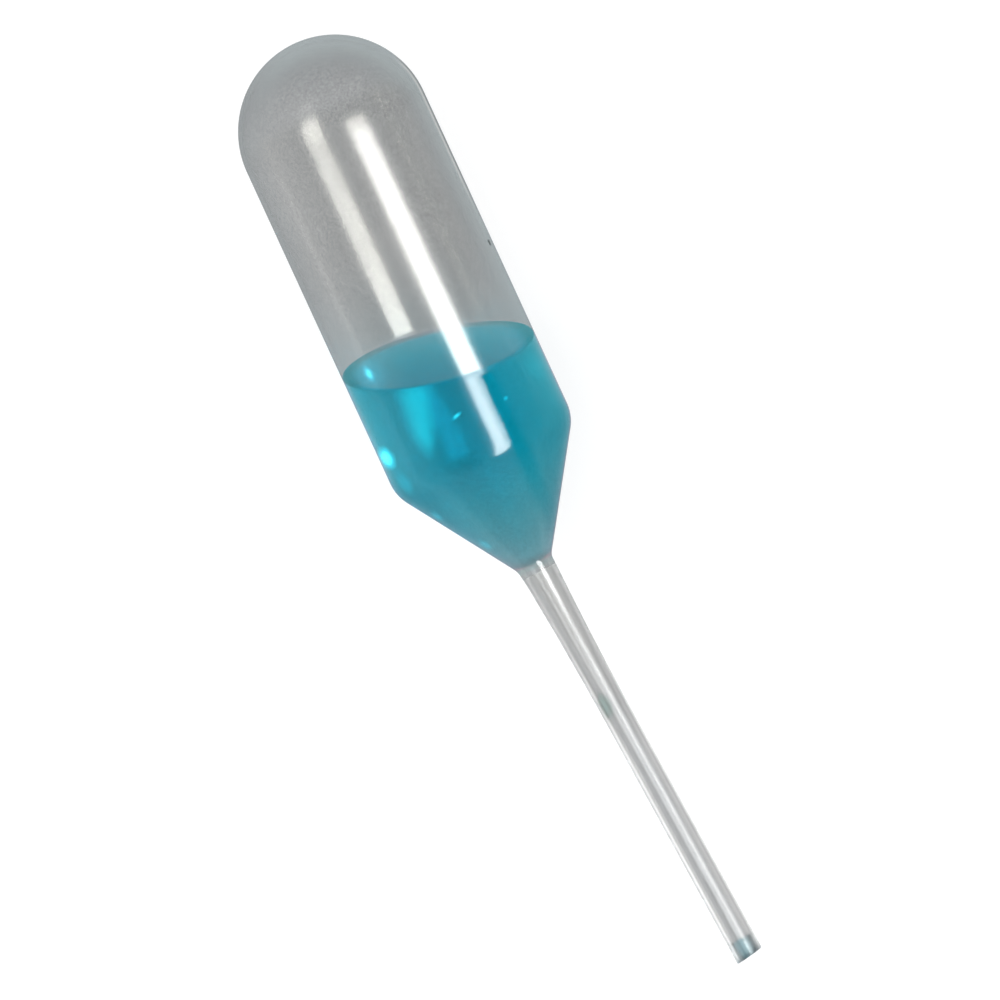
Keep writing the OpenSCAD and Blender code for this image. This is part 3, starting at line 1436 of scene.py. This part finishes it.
@dataclass(frozen=True)
class SoftLamp:
    """A rectangular soft lamp that leans about X towards its aim. A radiance of one is white."""

    name: str
    place: Vector
    size: Point
    radiance: float
    aim: Vector

    def hang(self) -> bpy.types.Object:
        """Hangs the lamp.

        Returns:
            The lamp.
        """
        data = bpy.data.lights.new(self.name, "AREA")
        data.shape = "RECTANGLE"
        data.size, data.size_y = self.size
        data.energy = self.radiance * math.pi * self.size[0] * self.size[1]
        lamp = put(self.name, data)
        lamp.location = self.place
        way = (self.aim - self.place).normalized()
        lamp.rotation_euler = Euler((math.atan2(way.y, -way.z), 0.0, 0.0))
        lamp.visible_camera = False
        return lamp


@dataclass
class Studio:
    """The bench, the lamps, the room and the camera."""

    sizes: PipetteSizes
    view_turn: float = math.radians(65.3)
    aim: Point = (-1.05 * MM, -0.435 * MM)
    view_width: float = 102.77 * MM
    lens: float = 500.0
    sensor: float = 36.0
    bench_reach: float = 3.0
    bench_drop: float = 0.02 * MM
    bench_pale: Colour = (0.8, 0.8, 0.8)
    bench_lit: Colour = (0.96, 0.96, 0.96)
    bench_glow: float = 1.3
    bench_lit_share: float = 0.4
    horizon: Colour = (0.62, 0.64, 0.65)
    overhead: Colour = (0.13, 0.135, 0.14)
    fill: float = 0.7
    strip_height: float = 0.15
    strip_from: float = -10.2 * MM
    strip_to: float = 209.5 * MM
    strip_near: float = 43 * MM
    strip_far: float = 126 * MM
    strip_radiance: float = 15.0
    key_place: tuple[float, float, float] = (0.0, -0.35, 0.75)
    key_size: Point = (0.9, 0.6)
    key_radiance: float = 1.1
    clip: Point = (0.05, 20.0)
    bounces: int = 24

    @staticmethod
    def seen(bench: Bench) -> tuple[Wire, Wire]:
        """Tells the rays that show the studio from those that only light the pipette.

        Args:
            bench: The tree's bench.

        Returns:
            One for the camera's own rays, and one for those, reflections and what shows through.
        """
        path = bench.node("ShaderNodeLightPath")
        kinds = ("Camera", "Glossy", "Transmission")
        camera, gloss, through = (Wire(bench, path.outputs[f"Is {kind} Ray"]) for kind in kinds)
        return camera, (camera + gloss + through).least(1.0)

    def bench_top(self) -> None:
        """Lays the pale bench, which shows white and keeps the pipette's soft shadow."""
        mesh = bpy.data.meshes.new("bench_top")
        reach = self.bench_reach
        corners = [(-reach, -reach), (reach, -reach), (reach, reach), (-reach, reach)]
        mesh.from_pydata([(x, y, -self.bench_drop) for x, y in corners], [], [(0, 1, 2, 3)])
        made, bench = Finish("pale_bench").start()
        _, seen = self.seen(bench)
        pale = bench.add("ShaderNodeBsdfDiffuse", None, {"Color": self.bench_pale})
        lit = bench.add("ShaderNodeBsdfDiffuse", None, {"Color": self.bench_lit})
        glow = {"Color": WHITE, "Strength": self.bench_glow}
        white = bench.add("ShaderNodeEmission", None, glow)
        shown = bench.mixed(self.bench_lit_share, white, lit)
        surface = bench.mixed(seen, pale, shown)
        bench.node("ShaderNodeOutputMaterial", None, {"Surface": surface})
        mesh.materials.append(made)
        put("bench_top", mesh)

    def room(self) -> None:
        """Sets the room: white to the camera, and grey in reflections, darker overhead."""
        world = bpy.data.worlds.new("studio_room")
        bpy.context.scene.world = world
        world.use_nodes = True
        world.node_tree.nodes.clear()
        bench = Bench(world.node_tree)
        camera, seen = self.seen(bench)
        _, _, up = bench.parts(bench.add("ShaderNodeTexCoord", None, None, "Generated"))
        colour = bench.blend(up.eased(0.1, 0.8), self.horizon, self.overhead)
        colour = bench.blend(camera, colour, WHITE)
        shown = bench.add("ShaderNodeBackground", None, {"Color": colour, "Strength": 1.0})
        plain = bench.add("ShaderNodeBackground", None, {"Color": WHITE, "Strength": self.fill})
        bench.node("ShaderNodeOutputWorld", None, {"Surface": bench.mixed(seen, plain, shown)})

    def lamps(self) -> None:
        """Hangs the long strip that shows in the gloss, and the soft key lamp."""
        centre = self.sizes.dome_centre
        back, front = centre.x + self.strip_from, centre.x + self.strip_to
        middle = ((back + front) / 2, (self.strip_near + self.strip_far) / 2)
        size = (front - back, self.strip_far - self.strip_near)
        above, below = Vector((*middle, centre.z + self.strip_height)), Vector((*middle, 0.0))
        strip = SoftLamp("strip_lamp", above, size, self.strip_radiance, below).hang()
        strip.visible_diffuse = False
        place, middle = Vector(self.key_place), Vector((0.0, 0.0, 0.0))
        key = SoftLamp("key_lamp", place, self.key_size, self.key_radiance, middle).hang()
        key.visible_glossy = False
        key.visible_transmission = False

    def camera(self) -> None:
        """Stands a long-lens camera straight above, turned as the pipette is shown."""
        data = bpy.data.cameras.new("view_camera")
        data.lens, data.sensor_width = self.lens, self.sensor
        camera = put("view_camera", data)
        height = self.view_width * self.lens / self.sensor
        camera.location = (*self.aim, self.sizes.dome_centre.z + height)
        camera.rotation_euler = Euler((0.0, 0.0, self.view_turn))
        data.clip_start, data.clip_end = self.clip
        bpy.context.scene.camera = camera

    def build(self) -> None:
        """Sets up everything round the pipette."""
        self.bench_top()
        self.room()
        self.lamps()
        self.camera()
        scene = bpy.context.scene
        scene.view_settings.view_transform = "Standard"
        scene.cycles.transparent_max_bounces = self.bounces


def main() -> None:
    """Builds and dresses the pipette and its studio, and logs its sizes and face counts."""
    logging.basicConfig(level=logging.INFO, format="%(name)s: %(message)s")
    sizes = PipetteSizes.from_frame(frame["record"])
    bend, tip, lean = sizes.bend_at / MM, sizes.tip_at / MM, math.degrees(sizes.bend_angle)
    log.info("bend %.3f mm, tip %.3f mm, lean %.2f deg", bend, tip, lean)
    lathe = Lathe(sizes)
    body = PipetteBody(sizes, lathe).build()
    body.dress()
    contents = Contents(sizes, lathe).build()
    contents.dress()
    for piece in (body.piece, *contents.pieces.values()):
        log.info("%s: %d faces", piece.name, len(piece.data.polygons))
    Studio(sizes).build()


if __name__ == "__main__":
    main()
